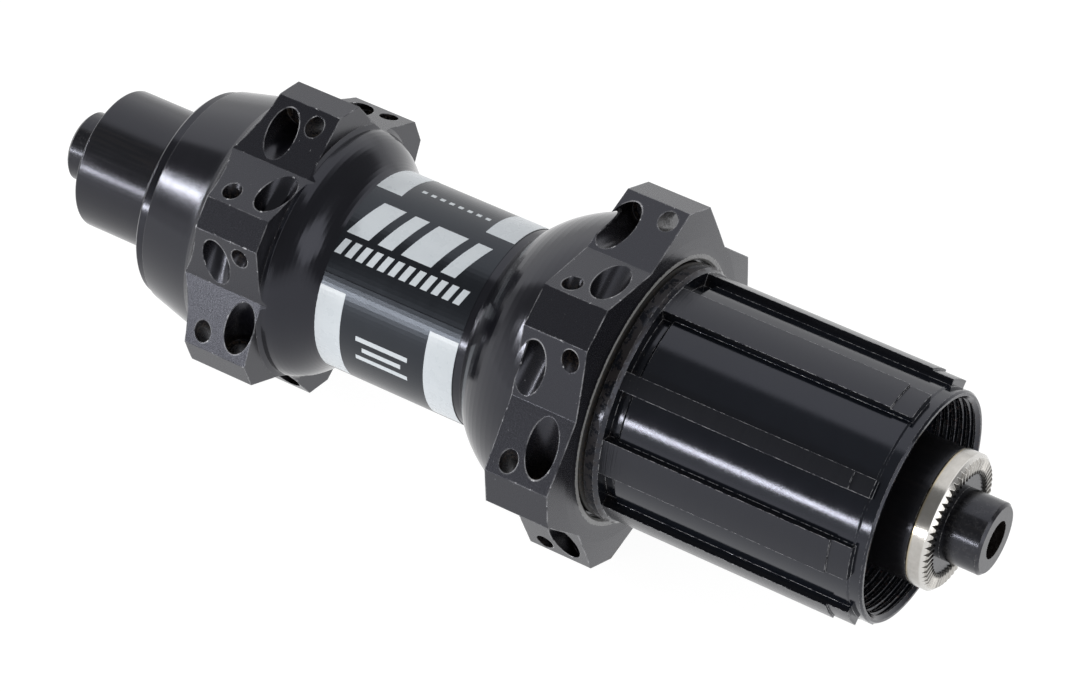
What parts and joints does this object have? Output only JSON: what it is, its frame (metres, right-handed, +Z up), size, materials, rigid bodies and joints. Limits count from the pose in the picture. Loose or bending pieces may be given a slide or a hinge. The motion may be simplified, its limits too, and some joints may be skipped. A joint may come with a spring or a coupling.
{
  "type": "bicycle rear hub",
  "caption": "Rear bicycle hub with toothed straight-pull flanges, a splined freehub driven by star rings, sealed bearings and push-fit quick-release end caps.",
  "frame": {"origin": "centre of the hub on its axis, halfway between the two locknut faces", "axes": "+Y along the axle to the non-drive side, -Y to the freehub, +Z up, +X forward; the wheel rolls forward about +Y"},
  "size_m": [0.0502, 0.1402, 0.047],
  "materials": {
    "anodised_shell": "black anodised aluminium, satin",
    "anodised_freehub": "black anodised aluminium, semi-gloss",
    "anodised_cap": "black anodised aluminium, satin, worn at the edges",
    "axle_alloy": "turned aluminium",
    "spacer_alloy": "turned aluminium",
    "ratchet_steel": "hardened steel, greased",
    "nut_steel": "steel, machined",
    "race_steel": "ground bearing steel",
    "ball_steel": "polished bearing steel",
    "cage_brass": "pressed brass",
    "spring_steel": "drawn spring wire",
    "seal_rubber": "moulded black rubber",
    "ring_steel": "turned steel with light scratches"
  },
  "bodies": {
    "axle": {"axle": "axle_alloy", "axle_sleeve": "spacer_alloy", "left_bearing_inner_race": "race_steel", "right_bearing_inner_race": "race_steel"},
    "hub_shell": {"hub_shell": "anodised_shell", "ring_nut": "nut_steel", "left_bearing_outer_race": "race_steel", "right_bearing_outer_race": "race_steel", "left_bearing_seals": "seal_rubber", "right_bearing_seals": "seal_rubber", "hub_spring": "spring_steel"},
    "left_ball_set": {"left_bearing_balls": "ball_steel", "left_bearing_cage": "cage_brass"},
    "right_ball_set": {"right_bearing_balls": "ball_steel", "right_bearing_cage": "cage_brass"},
    "hub_star_ring": {"hub_star_ring": "ratchet_steel"},
    "left_end_cap": {"left_end_cap": "anodised_cap", "left_cap_o_ring": "seal_rubber"},
    "right_end_cap": {"right_end_cap": "anodised_cap", "locknut_ring": "ring_steel", "right_cap_o_ring": "seal_rubber", "freehub_sleeve": "spacer_alloy", "inboard_freehub_inner_race": "race_steel", "outboard_freehub_inner_race": "race_steel"},
    "freehub": {"freehub_body": "anodised_freehub", "freehub_seal": "seal_rubber", "freehub_spring": "spring_steel", "inboard_freehub_outer_race": "race_steel", "outboard_freehub_outer_race": "race_steel", "inboard_freehub_seals": "seal_rubber", "outboard_freehub_seals": "seal_rubber"},
    "inboard_ball_set": {"inboard_freehub_balls": "ball_steel", "inboard_freehub_cage": "cage_brass"},
    "outboard_ball_set": {"outboard_freehub_balls": "ball_steel", "outboard_freehub_cage": "cage_brass"},
    "freehub_star_ring": {"freehub_star_ring": "ratchet_steel"}
  },
  "joints": [
    {"name": "hub_spin", "type": "hinge", "parent": "axle", "child": "hub_shell", "pos_m": [0, 0, 0], "axis": [0, 1, 0], "continuous": true},
    {"name": "left_balls_orbit", "type": "hinge", "parent": "axle", "child": "left_ball_set", "pos_m": [0, 0, 0], "axis": [0, 1, 0], "continuous": true},
    {"name": "right_balls_orbit", "type": "hinge", "parent": "axle", "child": "right_ball_set", "pos_m": [0, 0, 0], "axis": [0, 1, 0], "continuous": true},
    {"name": "hub_ratchet_slide", "type": "slide", "parent": "hub_shell", "child": "hub_star_ring", "axis": [0, 1, 0], "range_m": [-0.0004, 0.0008], "stiffness_N_per_m": 500, "springref_m": -0.003, "deforming": ["hub_spring"]},
    {"name": "left_cap_pull", "type": "slide", "parent": "axle", "child": "left_end_cap", "axis": [0, 1, 0], "range_m": [0, 0.014]},
    {"name": "drive_side_pull", "type": "slide", "parent": "axle", "child": "right_end_cap", "axis": [0, -1, 0], "range_m": [0, 0.034]},
    {"name": "freehub_spin", "type": "hinge", "parent": "right_end_cap", "child": "freehub", "pos_m": [0, 0, 0], "axis": [0, 1, 0], "continuous": true},
    {"name": "inboard_balls_orbit", "type": "hinge", "parent": "right_end_cap", "child": "inboard_ball_set", "pos_m": [0, 0, 0], "axis": [0, 1, 0], "continuous": true},
    {"name": "outboard_balls_orbit", "type": "hinge", "parent": "right_end_cap", "child": "outboard_ball_set", "pos_m": [0, 0, 0], "axis": [0, 1, 0], "continuous": true},
    {"name": "freehub_ratchet_slide", "type": "slide", "parent": "freehub", "child": "freehub_star_ring", "axis": [0, -1, 0], "range_m": [-0.0004, 0.0008], "stiffness_N_per_m": 500, "springref_m": -0.003, "deforming": ["freehub_spring"]}
  ],
  "couplings": [
    {"joint": "left_balls_orbit", "follows": "hub_spin", "ratio": 0.5774},
    {"joint": "right_balls_orbit", "follows": "hub_spin", "ratio": 0.5873},
    {"joint": "inboard_balls_orbit", "follows": "freehub_spin", "ratio": 0.5666},
    {"joint": "outboard_balls_orbit", "follows": "freehub_spin", "ratio": 0.5666}
  ]
}
